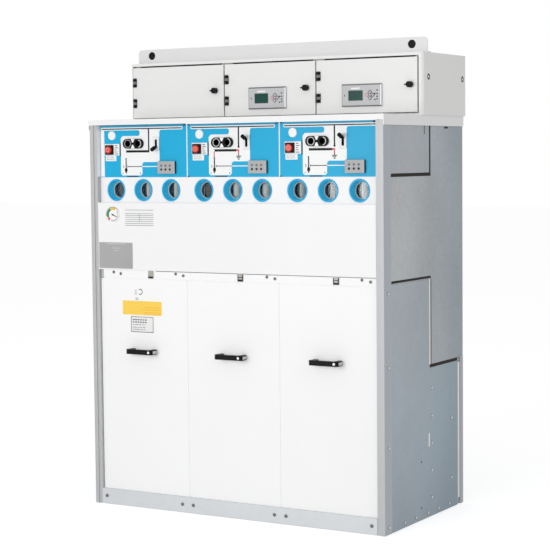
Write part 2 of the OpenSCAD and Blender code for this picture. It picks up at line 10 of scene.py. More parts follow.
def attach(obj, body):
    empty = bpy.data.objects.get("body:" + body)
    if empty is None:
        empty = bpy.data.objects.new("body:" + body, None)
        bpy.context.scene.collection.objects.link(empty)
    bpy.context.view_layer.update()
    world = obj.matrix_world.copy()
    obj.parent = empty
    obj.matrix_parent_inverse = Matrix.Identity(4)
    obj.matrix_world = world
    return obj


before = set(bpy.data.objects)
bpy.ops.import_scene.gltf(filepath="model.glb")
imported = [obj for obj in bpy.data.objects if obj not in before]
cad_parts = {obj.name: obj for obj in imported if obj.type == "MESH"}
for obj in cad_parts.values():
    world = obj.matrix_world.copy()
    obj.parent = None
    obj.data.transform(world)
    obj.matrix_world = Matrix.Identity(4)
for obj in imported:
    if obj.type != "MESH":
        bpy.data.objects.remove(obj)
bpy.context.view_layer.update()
ROOT = "cabinet"

# Places in millimetres, the same as the solids'

PANELS = ("left", "centre", "right")
PITCH = 1054.0 / 3
CENTRES = (-PITCH, 0.0, PITCH)
LEFT = (CENTRES[0], 0.0)
SEAMS = (-PITCH / 2, PITCH / 2)
WINDOW_PITCH, WINDOW_Z = 111.0, 1072.0
WINDOWS = [(c + j * WINDOW_PITCH, WINDOW_Z) for c in CENTRES for j in (-1, 0, 1)]

# Outer side faces, and the posts' inner edges
SIDE_X = 554.0
POST_X = 555.0
LV_X = 565.0
INNER_X = 526.0

# Front faces, from the outermost to the box on top
POST_Y = -295.0
MIDDLE_Y = -293.0
COVER_Y = -283.0
PANEL_Y = -275.0
GLASS_Y = -249.2
LV_Y = -29.0

# Fittings' faces in front of the mimic panels and the gauge's dial
BUTTON_Y = PANEL_Y - 12
INDICATOR_Y = PANEL_Y - 9
SOCKET_Y = PANEL_Y - 6
GUIDE_Y = PANEL_Y - 2
DIAL_Y = MIDDLE_Y - 3

# Thickness of foil, labels, plates, cards, raised lines and print
FOIL = 0.4
LABEL = 0.5
PLATE = 0.8
CARD = 0.7
LINE = 0.3
INK = 0.2


# Materials: the helpers add nodes to a tree and return an output socket

# Colour sockets of a Mix node
MIX_A, MIX_B, MIX_OUT = 6, 7, 2

# Depth of the bumps in metres, and the clouds' share over the crystals in zinc
PEEL_DEPTH = 0.0004
CLOUD_DEPTH = 0.0006
CLOUD_SHARE = 0.88


def srgb(r, g, b):
    """Linear colour of an 8-bit one."""
    def one(v):
        v /= 255.0
        return v / 12.92 if v <= 0.04045 else ((v + 0.055) / 1.055) ** 2.4
    return one(r), one(g), one(b), 1.0


def tone(colour, factor):
    return tuple(min(1.0, c * factor) for c in colour[:3]) + (1.0,)


def new_material(name):
    mat = bpy.data.materials.new(name)
    mat.use_nodes = True
    return mat, mat.node_tree, mat.node_tree.nodes["Principled BSDF"]


def coords(tree, scale=(1.0, 1.0, 1.0)):
    tex = tree.nodes.new("ShaderNodeTexCoord")
    mapping = tree.nodes.new("ShaderNodeMapping")
    mapping.inputs["Scale"].default_value = scale
    tree.links.new(tex.outputs["Object"], mapping.inputs["Vector"])
    return mapping.outputs["Vector"]


def along(tree, axis, low, high):
    """0 to 1 along one axis of the cabinet, between two positions in metres."""
    tex = tree.nodes.new("ShaderNodeTexCoord")
    split = tree.nodes.new("ShaderNodeSeparateXYZ")
    tree.links.new(tex.outputs["Object"], split.inputs["Vector"])
    node = tree.nodes.new("ShaderNodeMapRange")
    node.inputs["From Min"].default_value = low
    node.inputs["From Max"].default_value = high
    tree.links.new(split.outputs[axis], node.inputs["Value"])
    return node.outputs["Result"]


def noise(tree, vector, scale, detail):
    tex = tree.nodes.new("ShaderNodeTexNoise")
    tex.inputs["Scale"].default_value = scale
    tex.inputs["Detail"].default_value = detail
    tree.links.new(vector, tex.inputs["Vector"])
    return tex.outputs["Fac"]


def ramp(tree, fac, stops):
    """Colours along a factor; stops are (position, colour)."""
    node = tree.nodes.new("ShaderNodeValToRGB")
    elements = node.color_ramp.elements
    while len(elements) < len(stops):
        elements.new(0.5)
    for element, (position, colour) in zip(elements, stops):
        element.position = position
        element.color = colour
    tree.links.new(fac, node.inputs["Fac"])
    return node.outputs["Color"]


def drifted(tree, fac, colour, vary):
    """A colour that wanders a little to both sides."""
    return ramp(tree, fac, [(0.3, tone(colour, 1 - vary)), (0.7, tone(colour, 1 + vary))])


def spread(tree, fac, low, high):
    node = tree.nodes.new("ShaderNodeMapRange")
    node.inputs["To Min"].default_value = low
    node.inputs["To Max"].default_value = high
    tree.links.new(fac, node.inputs["Value"])
    return node.outputs["Result"]


def multiply(tree, first, second):
    node = tree.nodes.new("ShaderNodeMix")
    node.data_type = "RGBA"
    node.blend_type = "MULTIPLY"
    node.inputs["Factor"].default_value = 1.0
    tree.links.new(first, node.inputs[MIX_A])
    tree.links.new(second, node.inputs[MIX_B])
    return node.outputs[MIX_OUT]


def bump(tree, shader, height, strength, distance):
    node = tree.nodes.new("ShaderNodeBump")
    node.inputs["Strength"].default_value = strength
    node.inputs["Distance"].default_value = distance
    tree.links.new(height, node.inputs["Height"])
    tree.links.new(node.outputs["Normal"], shader.inputs["Normal"])


def coated(name, colour, rough=(0.32, 0.42), vary=0.025, grain=900.0, grip=0.05, shine=0.5):
    """Powder coat, print or moulded plastic: slight tone drift, fine orange peel."""
    mat, tree, shader = new_material(name)
    vector = coords(tree)
    drift = noise(tree, vector, scale=3.0, detail=4.0)
    tree.links.new(drifted(tree, drift, colour, vary), shader.inputs["Base Color"])
    shader.inputs["Specular IOR Level"].default_value = shine
    peel = noise(tree, vector, scale=grain, detail=2.0)
    tree.links.new(spread(tree, peel, *rough), shader.inputs["Roughness"])
    bump(tree, shader, peel, strength=grip, distance=PEEL_DEPTH)
    return mat


def zinc(name, colour, metallic=0.35, rough=(0.38, 0.58), vary=0.04, grain=55.0, painted_shade=()):
    """Zinc-coated sheet: faint crystals under soft clouds; painted shade is multiplied in along
    axes, given as (axis, low, high, stops).
    """
    mat, tree, shader = new_material(name)
    crystals = tree.nodes.new("ShaderNodeTexVoronoi")
    crystals.inputs["Scale"].default_value = grain
    tree.links.new(coords(tree), crystals.inputs["Vector"])
    grey = tree.nodes.new("ShaderNodeSeparateColor")
    tree.links.new(crystals.outputs["Color"], grey.inputs["Color"])
    clouds = noise(tree, coords(tree, (1.6, 1.6, 1.0)), scale=2.0, detail=2.0)
    mix = tree.nodes.new("ShaderNodeMix")
    mix.data_type = "FLOAT"
    mix.inputs["Factor"].default_value = CLOUD_SHARE
    tree.links.new(grey.outputs["Red"], mix.inputs["A"])
    tree.links.new(clouds, mix.inputs["B"])
    pattern = mix.outputs["Result"]
    paint = drifted(tree, pattern, colour, vary)
    # Painted shade: darkens the colour along each axis given
    for axis, low, high, stops in painted_shade:
        paint = multiply(tree, paint, ramp(tree, along(tree, axis, low, high), stops))
    tree.links.new(paint, shader.inputs["Base Color"])
    shader.inputs["Metallic"].default_value = metallic
    tree.links.new(spread(tree, pattern, *rough), shader.inputs["Roughness"])
    bump(tree, shader, clouds, strength=0.08, distance=CLOUD_DEPTH)
    return mat


def film(name, colour, deep_colour, start, end):
    """Printed foil that gives way to another colour between two depths, such as in a recess; some
    looks use that second colour as painted light or painted shade.
    """
    mat = coated(name, colour, rough=(0.24, 0.34), vary=0.03, grain=700.0, grip=0.03, shine=0.2)
    tree = mat.node_tree
    base = tree.nodes["Principled BSDF"].inputs["Base Color"]
    printed = base.links[0].from_socket
    node = tree.nodes.new("ShaderNodeMix")
    node.data_type = "RGBA"
    tree.links.new(along(tree, "Y", start / 1000, end / 1000), node.inputs["Factor"])
    tree.links.new(printed, node.inputs[MIX_A])
    node.inputs[MIX_B].default_value = deep_colour
    tree.links.new(node.outputs[MIX_OUT], base)
    return mat


def edged(name, colour, deep_colour, face_y):
    """Foil on a front face whose edges take the second colour: the sheet's own colour on some
    looks, painted shade on others.
    """
    return film(name, colour, deep_colour, face_y + 0.6, face_y + 0.8)


def glazing(name, colour):
    """Clear pane that lets the light through, with faint smears in its shine."""
    mat, tree, shader = new_material(name)
    tree.nodes.remove(shader)
    clear = tree.nodes.new("ShaderNodeBsdfTransparent")
    clear.inputs["Color"].default_value = colour
    shine = tree.nodes.new("ShaderNodeBsdfGlossy")
    smear = noise(tree, coords(tree), scale=60.0, detail=3.0)
    tree.links.new(spread(tree, smear, low=0.03, high=0.08), shine.inputs["Roughness"])
    edge = tree.nodes.new("ShaderNodeFresnel")
    edge.inputs["IOR"].default_value = 1.5
    mix = tree.nodes.new("ShaderNodeMixShader")
    tree.links.new(edge.outputs["Fac"], mix.inputs["Fac"])
    tree.links.new(clear.outputs[0], mix.inputs[1])
    tree.links.new(shine.outputs[0], mix.inputs[2])
    tree.links.new(mix.outputs[0], tree.nodes["Material Output"].inputs["Surface"])
    return mat


WHITE = srgb(255, 255, 255)
# Painted shade on the side sheets: darker and bluer towards the bottom, darker towards the rear
SIDE_PAINTED_SHADE = [
    ("Z", 0.0, 1.3, [(0.0, srgb(224, 233, 240)), (0.3, srgb(242, 250, 255)),
                     (0.7, srgb(252, 252, 253))]),
    ("Y", -0.1, 0.2, [(0.0, WHITE), (1.0, srgb(228, 238, 241))]),
]
# Painted shade on the tank's sides: darker towards the rear
TANK_PAINTED_SHADE = [("Y", -0.1, 0.25, [(0.0, WHITE), (1.0, srgb(218, 227, 233))])]
# Painted shade on the corner posts: their outer side faces darker and bluer than their fronts
POST_PAINTED_SHADE = [
    ("X", -0.556, 0.556, [(0.001, srgb(224, 231, 240)), (0.0016, srgb(241, 241, 241)),
                          (0.2, srgb(244, 244, 244)), (0.9984, srgb(240, 240, 241)),
                          (0.999, srgb(228, 236, 246))]),
]

# Name and colour, then what differs from the usual finish, in the order of the arguments above
MAT = {
    "white": coated("white_coat", srgb(251, 251, 251), vary=0.008),
    "box": coated("box_coat", srgb(239, 239, 238), vary=0.012),
    "rail": coated("rail_coat", srgb(230, 230, 230), vary=0.012),
    "lip": coated("lip_coat", srgb(244, 243, 243), vary=0.008),
    "pane": coated("window_coat", srgb(246, 246, 247), vary=0.008),
    "side": zinc("zinc_side", srgb(173, 178, 183), vary=0.10, painted_shade=SIDE_PAINTED_SHADE),
    "tank": zinc("tank_side", srgb(178, 181, 184), vary=0.16, grain=90.0, painted_shade=TANK_PAINTED_SHADE),
    "strip": zinc("zinc_strip", srgb(208, 211, 214), 0.2, vary=0.03),
    "post": zinc("zinc_post", srgb(193, 194, 195), 0.25, vary=0.03, painted_shade=POST_PAINTED_SHADE),
    # Bright white: painted light in the rear slits and beside a slot, painted highlights on the
    # side bolts' heads
    "slit": coated("white_and_painted_light", srgb(250, 250, 250), vary=0.01),
    "catch": zinc("dark_zinc", srgb(166, 161, 155), 0.4, (0.3, 0.45), 0.08, 300.0),
    # Darker than the zinc itself: painted shade on screw heads, seats and a line under the middle
    # panel
    "screw": zinc("screw_zinc_and_painted_shade", srgb(112, 109, 105), 0.5, (0.3, 0.45), 0.08, 300.0),
    "knuckle": coated("hinge_middle", srgb(112, 113, 114), (0.3, 0.42), 0.06, 1400.0, 0.1),
    "black": coated("black_moulding", srgb(14, 14, 15), (0.4, 0.52), 0.12, 1400.0, 0.1, 0.12),
    "ink": coated("black_ink", srgb(24, 25, 29), (0.4, 0.5), 0.1, shine=0.2),
    "marks": coated("grey_ink", srgb(128, 129, 131), (0.4, 0.5), 0.08),
    # Painted shade: the voltage indicators' sides and edges near black
    "indicator": edged("indicator_case", srgb(178, 179, 180), srgb(30, 31, 33), INDICATOR_Y),
    "fascia": coated("relay_fascia", srgb(196, 197, 199), (0.34, 0.46), 0.03, 1400.0, 0.06),
    "fasciaedge": coated("relay_edge", srgb(84, 86, 88), (0.34, 0.46), 0.05, 1400.0, 0.08),
    "red": coated("red_button", srgb(222, 66, 54), (0.2, 0.3), 0.05),
    # Painted highlight: a pale ring on the red buttons
    "redpale": coated("button_highlight_ring", srgb(240, 150, 132), (0.25, 0.35), 0.04),
    "ringgrey": coated("socket_ring", srgb(150, 151, 154), (0.25, 0.35), 0.06, 1200.0, 0.08),
    "ringpale": coated("socket_collar_and_reflection", srgb(204, 205, 206), (0.25, 0.35), 0.06, 1200.0, 0.08),
    # Painted shade in the side slots, dark brown like the rust at their edges
    "shade_and_rust": coated("slot_painted_shade_and_rust", srgb(36, 30, 27), (0.5, 0.65), 0.45, 160.0, 0.3, 0.12),
    "redline": coated("red_ink", srgb(220, 86, 98), (0.4, 0.5), 0.05),
    "blue": edged("blue_film", srgb(30, 176, 222), srgb(244, 247, 249), PANEL_Y),
    # Painted light: the window surrounds' blue turns lighter deeper into the recess, against the
    # shade there
    "bluecone": film("blue_surround", srgb(28, 176, 230), srgb(70, 214, 255),
                     PANEL_Y, PANEL_Y + 8),
    "film": coated("white_film", srgb(248, 249, 249), (0.24, 0.34), 0.01, 700.0, 0.03, 0.3),
    # Painted shade: the selector guides' edges and slot walls near black
    "guide": edged("guide_plate", srgb(240, 241, 241), srgb(24, 24, 25), GUIDE_Y),
    "label": coated("label_stock", srgb(243, 244, 243), (0.3, 0.4), 0.01),
    "plate": coated("blank_plate", srgb(166, 167, 166), (0.26, 0.4), 0.08, grain=500.0),
    "yellow": coated("yellow_tag", srgb(255, 211, 80), (0.3, 0.42), 0.02),
    "orange": coated("orange_ink", srgb(240, 182, 62), (0.3, 0.42), 0.03),
    # Painted shade: darker blue for the strip under the top cover's lip
    "teal": coated("lip_painted_shade", srgb(52, 154, 188), (0.24, 0.34), 0.03, 700.0, 0.03, 0.2),
    "green": coated("green_ink", srgb(46, 136, 92), (0.35, 0.45), 0.05),
    "amber": coated("amber_ink", srgb(240, 190, 72), (0.35, 0.45), 0.05),
    "lcd": coated("lcd_pane", srgb(32, 76, 69), (0.12, 0.2), 0.15, 500.0, 0.02, 0.15),
    "palerim": coated("pane_rim_and_glint", srgb(232, 232, 222), (0.3, 0.4), 0.05),
    "platemark": coated("plate_streak", srgb(196, 197, 196), (0.3, 0.4), 0.05),
    "darkgrey": coated("indicator_socket", srgb(54, 55, 57), (0.4, 0.52), 0.1, 1400.0, 0.1, 0.2),
    # Near black: small dark parts, and painted shade in slots, round the knock-outs, at the mimic
    # seams and on the window housings
    "dark_and_shade": coated("near_black_and_painted_shade", srgb(26, 28, 32), (0.5, 0.65), 0.12, 1200.0, 0.12, 0.2),
    "resin": coated("contact_resin", srgb(226, 227, 224), (0.3, 0.4), 0.06),
    "dial": coated("dial_face", srgb(249, 249, 248), (0.25, 0.35), 0.01),
    "glass": glazing("window_glass", (0.93, 0.96, 0.97, 1.0)),
}


def each(piece):
    """The nodes of a piece that every panel has."""
    return [f"{panel}_{piece}" for panel in PANELS]


NODE_LOOKS = {
    "side": ["base_frame", "side_sheets", "rear_panel"],
    "tank": ["tank_walls", "tank_decks", "tank_ends"],
    "strip": ["plinth_strip"],
    "post": ["corner_posts"],
    # Painted light: the rear slits' inset strips in bright white
    "slit": ["slit_strips"],
    "lip": ["top_cover"],
    "white": ["latch_strip", *each("cable_cover")],
    "pane": ["window_panel", "middle_panel"],
    "black": ["cover_handles", "button_bezels", "lv_hinges",
              *each("drive_sockets"), *each("selector_lever"), *each("door_lock")],
    "guide": ["selector_guides"],
    "catch": ["cover_latches"],
    "knuckle": each("door_knuckles"),
    "bluecone": ["window_surrounds"],
    "blue": each("mimic_panel"),
    "glass": ["window_glasses"],
    "resin": ["contact_housings"],
    "red": each("off_button"),
    "indicator": ["voltage_indicators"],
    "fascia": ["centre_relay", "right_relay"],
    "dial": ["pressure_gauge"],
    "box": ["lv_floor", "lv_roof", "lv_rear_wall", "lv_end_walls", "lv_mullions",
            *each("lv_door")],
    "rail": ["lifting_rail"],
}
for look, names in NODE_LOOKS.items():
    for name in names:
        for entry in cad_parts[name].material_slots:
            entry.material = MAT[look]


# Outlines: loops of (x, z) points, counter-clockwise from the front

def rect(x0, x1, z0, z1, r=0.0, steps=5):
    if r <= 0:
        return [(x0, z0), (x1, z0), (x1, z1), (x0, z1)]
    corners = ((x1 - r, z0 + r, -90), (x1 - r, z1 - r, 0), (x0 + r, z1 - r, 90),
               (x0 + r, z0 + r, 180))
    loop = []
    for cx, cz, start in corners:
        for k in range(steps + 1):
            a = math.radians(start + 90.0 * k / steps)
            loop.append((cx + r * math.cos(a), cz + r * math.sin(a)))
    return loop


def disc(cx, cz, r, steps):
    angles = [2 * math.pi * k / steps for k in range(steps)]
    return [(cx + r * math.cos(a), cz + r * math.sin(a)) for a in angles]


def diamond(cx, cz, r):
    return [(cx - r, cz), (cx, cz - r), (cx + r, cz), (cx, cz + r)]


def sector(cx, cz, r0, r1, a0, a1, steps=16):
    """Part of a flat ring, between two angles in degrees."""
    angles = [math.radians(a0 + (a1 - a0) * k / steps) for k in range(steps + 1)]
    return ([(cx + r1 * math.cos(a), cz + r1 * math.sin(a)) for a in angles]
            + [(cx + r0 * math.cos(a), cz + r0 * math.sin(a)) for a in reversed(angles)])


def stroke(x0, z0, x1, z1, w):
    dx, dz = x1 - x0, z1 - z0
    length = math.hypot(dx, dz)
    nx, nz = -dz / length * w / 2, dx / length * w / 2
    return [(x0 - nx, z0 - nz), (x1 - nx, z1 - nz), (x1 + nx, z1 + nz), (x0 + nx, z0 + nz)]


def text_bars(x, z, widths, h=1.6, gap=3):
    """Row of short bars in place of print."""
    bars = []
    for w in widths:
        bars.append(rect(x, x + w, z, z + h))
        x += w + gap
    return bars


def moved(loops, at):
    return [[(x + at[0], z + at[1]) for x, z in loop] for loop in loops]


# Pieces

FRONT = (0, -1, 0)


def on_front(y, spots, at=(0.0, 0.0)):
    """Places of turned pieces on a front face, for (x, z) spots measured from the point at."""
    return [((x + at[0], y, z + at[1]), FRONT) for x, z in spots]


def on_side(sign, x, spots):
    """Places of turned pieces on a side face, for (y, z) spots."""
    return [((sign * x, y, z), (sign, 0, 0)) for y, z in spots]


def add_mesh(name, verts, faces, look, body=ROOT, smooth=False):
    """Mesh from millimetre points, riding on a body."""
    mesh = bpy.data.meshes.new(name)
    mesh.from_pydata([[c / 1000.0 for c in v] for v in verts], [], faces)
    mesh.update()
    for face in mesh.polygons:
        face.use_smooth = smooth
    obj = bpy.data.objects.new(name, mesh)
    bpy.context.scene.collection.objects.link(obj)
    obj.data.materials.append(MAT[look])
    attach(obj, body)
    return obj


def add_prisms(name, loops, y, thick, look, body=ROOT, at=(0.0, 0.0)):
    """Thin plates on a front face at y; loops are measured from the point at."""
    verts, faces = [], []
    for loop in moved(loops, at):
        n, base = len(loop), len(verts)
        verts += [(x, y - thick, z) for x, z in loop] + [(x, y, z) for x, z in loop]
        faces.append(list(range(base, base + n)))
        faces.append(list(range(base + 2 * n - 1, base + n - 1, -1)))
        for i in range(n):
            j = (i + 1) % n
            faces.append([base + i, base + n + i, base + n + j, base + j])
    add_mesh(name, verts, faces, look, body)


def add_plate(name, outline, hole, y, thick, look, at):
    """Thin plate with a hole on a front face at y; loops are measured from the point at."""
    loops = moved([outline, hole], at)
    points = [p for loop in loops for p in loop]
    verts = [(x, y - thick, z) for x, z in points] + [(x, y, z) for x, z in points]
    n = len(points)
    faces = []
    for a, b, c in tessellate_polygon([[Vector((x, z, 0)) for x, z in loop] for loop in loops]):
        turn = ((points[b][0] - points[a][0]) * (points[c][1] - points[a][1])
                - (points[b][1] - points[a][1]) * (points[c][0] - points[a][0]))
        if turn < 0:
            b, c = c, b
        faces += [[a, b, c], [n + c, n + b, n + a]]
    start = 0
    for k, loop in enumerate(loops):
        for i in range(len(loop)):
            p, q = start + i, start + (i + 1) % len(loop)
            faces.append([p, n + p, n + q, q] if k == 0 else [q, n + q, n + p, p])
        start += len(loop)
    add_mesh(name, verts, faces, look)


BOX_FACES = [(3, 2, 1, 0), (4, 5, 6, 7), (0, 1, 5, 4), (1, 2, 6, 5), (2, 3, 7, 6), (3, 0, 4, 7)]


def add_side_plates(name, runs, x, thick, look, facing):
    """Thin plates that face sideways, 1 or -1; runs are (y0, y1, z0, z1), x the outer face."""
    inner = x - facing * thick
    verts, faces = [], []
    for y0, y1, z0, z1 in runs:
        base = len(verts)
        corners = ((y0, z0), (y1, z0), (y1, z1), (y0, z1))
        verts += [(u, v, w) for u in (inner, x) for v, w in corners]
        faces += [[base + k for k in (face if facing > 0 else face[::-1])] for face in BOX_FACES]
    add_mesh(name, verts, faces, look)


def add_lathes(name, places, profile, look, body=ROOT, steps=28, ring=False):
    """Turned pieces: places are (origin, axis), profile (radius, height); a ring has no caps."""
    verts, faces = [], []
    for origin, axis in places:
        axis = Vector(axis).normalized()
        side = axis.orthogonal().normalized()
        other = axis.cross(side)
        base = len(verts)
        for r, h in profile:
            for k in range(steps):
                a = 2 * math.pi * k / steps
                p = Vector(origin) + axis * h + (side * math.cos(a) + other * math.sin(a)) * r
                verts.append(tuple(p))
        rows = len(profile)
        for row in range(rows if ring else rows - 1):
            for k in range(steps):
                n = (k + 1) % steps
                a, b = base + row * steps, base + (row + 1) % rows * steps
                faces.append([a + k, a + n, b + n, b + k])
        if not ring:
            faces.append([base + k for k in reversed(range(steps))])
            faces.append([base + (rows - 1) * steps + k for k in range(steps)])
    obj = add_mesh(name, verts, faces, look, body, smooth=True)
    edges = obj.modifiers.new("edges", "EDGE_SPLIT")
    edges.split_angle = math.radians(35)


def add_screws(name, places, r, h, look):
    """Domed heads with a small socket in the middle."""
    profile = [(r, 0.0), (r, 0.45 * h), (0.86 * r, 0.8 * h), (0.55 * r, h), (0.42 * r, h),
               (0.40 * r, 0.35 * h), (0.05 * r, 0.3 * h)]
    add_lathes(name, places, profile, look)


def add_shells(name, shells, z0, z1, r, thick, look, steps=12):
    """Upright curved bands; shells are (x, y, first angle, last angle) in degrees."""
    verts, faces = [], []
    for x, y, a0, a1 in shells:
        base = len(verts)
        for k in range(steps + 1):
            a = math.radians(a0 + (a1 - a0) * k / steps)
            verts += [(x + q * math.cos(a), y + q * math.sin(a), z)
                      for q in (r, r + thick) for z in (z0, z1)]
        for k in range(steps):
            p, q = base + 4 * k, base + 4 * k + 4
            faces += [[p + 2, q + 2, q + 3, p + 3], [p, p + 1, q + 1, q],
                      [p, q, q + 2, p + 2], [p + 1, p + 3, q + 3, q + 1]]
        last = base + 4 * steps
        faces += [[base, base + 2, base + 3, base + 1], [last, last + 1, last + 3, last + 2]]
    add_mesh(name, verts, faces, look)


# Screws on the plinth and above the covers, their zinc darkened as painted shade

PLINTH_SCREWS = [(x, 28) for x in (-508, -199, -156, 156, 199, 508)]
STRIP_SCREWS = [(-473, 795), (-444, 790), (-221, 795), (-191, 790),
                (130, 795), (160, 790), (473, 795), (503, 790)]
add_screws("plinth_screws", on_front(POST_Y + 1, PLINTH_SCREWS), 6, 2.7, "screw")
add_screws("strip_screws", on_front(COVER_Y, STRIP_SCREWS), 5, 2.25, "screw")

# Sides: bolts, slots and the box's knock-outs, with painted shade and painted highlights, as (y,
# z) spots

SHEET_BOLTS = [(48, 423), (48, 331), (48, 242), (48, 151), (48, 62), (202, 303), (202, 101),
               (-154, 16), (-71, 16), (18, 16), (98, 16), (182, 16)]
POST_BOLTS = [(-266, 753), (-266, 522), (-266, 271), (-266, 22)]
SPARE_HOLES = [(-30, 190), (-30, 40)]
KNOCK_OUTS = [(9, 1430), (272, 1430)]
BOLT_SHADOW_RING = [(6.4, 0.0), (6.4, 0.4), (3.0, 0.4), (3.0, 0.0)]
SPARE_HOLE = [(3.6, 0.0), (3.4, 0.2), (0.3, 0.2)]
KNOCK_SHADE_RING = [(9.9, -2.0), (9.9, -0.2), (4.5, -0.2), (4.5, -2.0)]
BOX_PLUG = [(4.4, -2.0), (4.4, -0.3), (4.0, 0.0), (0.4, 0.0)]
SLOT_RUNS = [(-245, 44, 1113.5, 1123.5), (34, 44, 1123.5, 1300), (-245, 44, 782, 789.5),
             (34, 252, 490.5, 500.5)]
# Piece, runs, face beyond the side sheet, thickness, look, slot
SIDE_PLATES = [
    # Dark strips in the slots: painted shade, with the rust's brown
    ("slot_shade_strips", SLOT_RUNS, -0.4, 1.2, "shade_and_rust", "black_plastic"),
    ("slot_tab", [(23, 33, 232, 276)], 0.4, 0.8, "slit", "galvanised_strip"),
    # Painted light: a white plate in the rear slit; painted highlight: a white strip beside the
    # slot, with painted shade next to it
    ("slit_face", [(255, 269, 22, 484)], -0.6, 1.0, "slit", "galvanised_strip"),
    ("slot_light", [(30, 39.4, 501, 779.5)], 0.5, 1.0, "slit", "galvanised_strip"),
    ("slot_shade", [(39.4, 46.4, 501, 779.5)], 0.3, 1.0, "shade_and_rust", "black_plastic"),
    ("slot_fill", [(-245, 44, 779.5, 782)], -0.4, 1.0, "side", "galvanised"),
    # Painted shade: a dark strip for the slot in the tank's side
    ("tank_slot", [(150, 178, 1266, 1272)], 0.4, 0.5, "dark_and_shade", "black_plastic"),
]

for side, sign in (("left", -1), ("right", 1)):
    bolts = on_side(sign, SIDE_X, SHEET_BOLTS) + on_side(sign, POST_X, POST_BOLTS)
    # Painted shadow: a dark ring round each bolt; painted highlight: the bolts' heads in bright
    # white
    add_lathes(f"{side}_bolt_shadow_rings", bolts, BOLT_SHADOW_RING, "screw", ring=True)
    add_screws(f"{side}_side_bolts", bolts, 4.4, 2.6, "slit")
    add_lathes(f"{side}_spare_holes", on_side(sign, SIDE_X, SPARE_HOLES), SPARE_HOLE,
               "dark_and_shade")
    for piece, runs, beyond, thick, look, slot in SIDE_PLATES:
        add_side_plates(f"{side}_{piece}", runs, sign * (SIDE_X + beyond), thick, look, sign)
    knocks = on_side(sign, LV_X, KNOCK_OUTS)
    # Painted shade: a dark ring round each knock-out's plug
    add_lathes(f"{side}_knock_shade_rings", knocks, KNOCK_SHADE_RING, "dark_and_shade", ring=True)
    add_lathes(f"{side}_box_plugs", knocks, BOX_PLUG, "box")

# Front seams: strips in and beside the gaps, a line of painted shade under the middle panel, and
# small marks of painted shade at the mimic panels' seams

MIMIC_LOW, MIMIC_TOP = 1116, 1288
add_side_plates("left_reveal", [(-293.5, -276, 1117, MIMIC_TOP)], -526.6, 0.3, "film",
                1)
add_prisms("strip_end", [rect(-526.8, -515.2, 776.5, 802.5)], COVER_Y + 2, 1.5, "post")
cover_seams = [rect(x - 1.4, x + 1.4, 54, 773) for x in SEAMS]
cover_seams.append(rect(-514, INNER_X, 774.6, 775.9))
add_prisms("cover_seams", cover_seams, COVER_Y + 3, 1.6, "white")
# Painted shade: a thin dark line under the middle panel's edge
add_prisms("strip_shade", [rect(-300, INNER_X, 800.8, 802.9)], COVER_Y, INK, "screw")
add_prisms("window_seam", [rect(-INNER_X, INNER_X, 1030.1, 1031.9)], PANEL_Y + 0.3, 0.6, "film")
mimic_seams = [rect(x - 2, x + 2, MIMIC_LOW, MIMIC_TOP) for x in SEAMS]
mimic_seams += [rect(x - 1, x + 1, MIMIC_LOW, MIMIC_TOP) for x in (-525.8, 525.8)]
add_prisms("mimic_seams", mimic_seams, PANEL_Y + 3, 2.4, "film")
# Painted shade: small dark marks at the top and bottom of the mimic seams and at the right end
seam_shades = []
for x in SEAMS:
    seam_shades += [rect(x - 13, x - 5, 1284, MIMIC_TOP), rect(x + 4, x + 12, 1285, 1288.5),
                rect(x + 3, x + 9, MIMIC_LOW, 1119)]
seam_shades.append(rect(511, 520, 1282, MIMIC_TOP))
add_prisms("seam_painted_shade", seam_shades, PANEL_Y, 1.6, "dark_and_shade")

# Mimic panels, with x measured from each panel's middle

FIELD = [(-90, 1127), (-84, 1121), (-9, 1121), (-3, 1127), (-3, 1159.5), (3, 1165.5),
         (61, 1165.5), (67, 1171), (67, 1203), (40.8, 1203), (40.8, 1249), (67, 1249),
         (67, 1264), (69, 1270), (74, 1272), (-19, 1272), (-14, 1270), (-12, 1265),
         (-12, 1260), (-14, 1255), (-19, 1253), (-82, 1253), (-90, 1245)]
BANDS = {"left": (-171, 160), "centre": (-160, 160), "right": (-160, 171)}
FEEDER_X = 24
LEFT_SOCKET, RIGHT_SOCKET = (-57.5, 1227), (-16.5, 1227)
SOCKET_HOLE = rect(-78.3, 4.3, 1210.7, 1243.3, 16.3)
SOCKET_RING = [(13.6, 0.0), (13.4, 0.8), (11.1, 0.8), (10.9, 0.0)]
SOCKET_NOTCHES = [[(-45, 1242.8), (-39, 1231), (-35, 1231), (-29, 1242.8)],
                  [(-29, 1211.2), (-35, 1223), (-39, 1223), (-45, 1211.2)]]
BEZEL_HOLE = rect(-152.3, -119.7, 1190.7, 1223.3)
BUTTON_AT = (-136, 1207)
BUTTON_HIGHLIGHT = [(6.4, 0.0), (6.2, 0.5), (4.6, 0.5), (4.2, 0.0)]
BUTTON_LABEL = rect(-156, -96, 1188, 1227, 2)
LABEL_SIGNS = [rect(-114, x, z, z + 2.2) for x, z in (
    (-101, 1192), (-105, 1199), (-108, 1206), (-102, 1213), (-105, 1220))]
LABEL_BARS = text_bars(-149, 1180, (8, 5, 10)) + text_bars(-149, 1174, (12, 9, 5))
DISC_AT = (-125.6, 1255)
POSITION_DISC = [(15, 0.0), (15, 2.2), (14, 3.0), (12.6, 3.0), (12.2, 2.2), (0.5, 2.4)]
INDICATOR_HOLE = [(4.0, 0.0), (4.0, 0.7), (3.3, 1.2), (2.6, 1.2), (2.2, 0.3), (0.2, 0.2)]
INDICATOR_COLUMNS = (79, 96, 113)
INDICATOR_ROWS = {"knuckle": 1153.2, "darkgrey": 1140.4}


def earth_marks(x, z):
    """Three bars, each shorter than the one above it."""
    return [rect(x - w, x + w, z - k * 4.8 - 1.4, z - k * 4.8 + 1.4)
            for k, w in enumerate((9, 6, 3))]


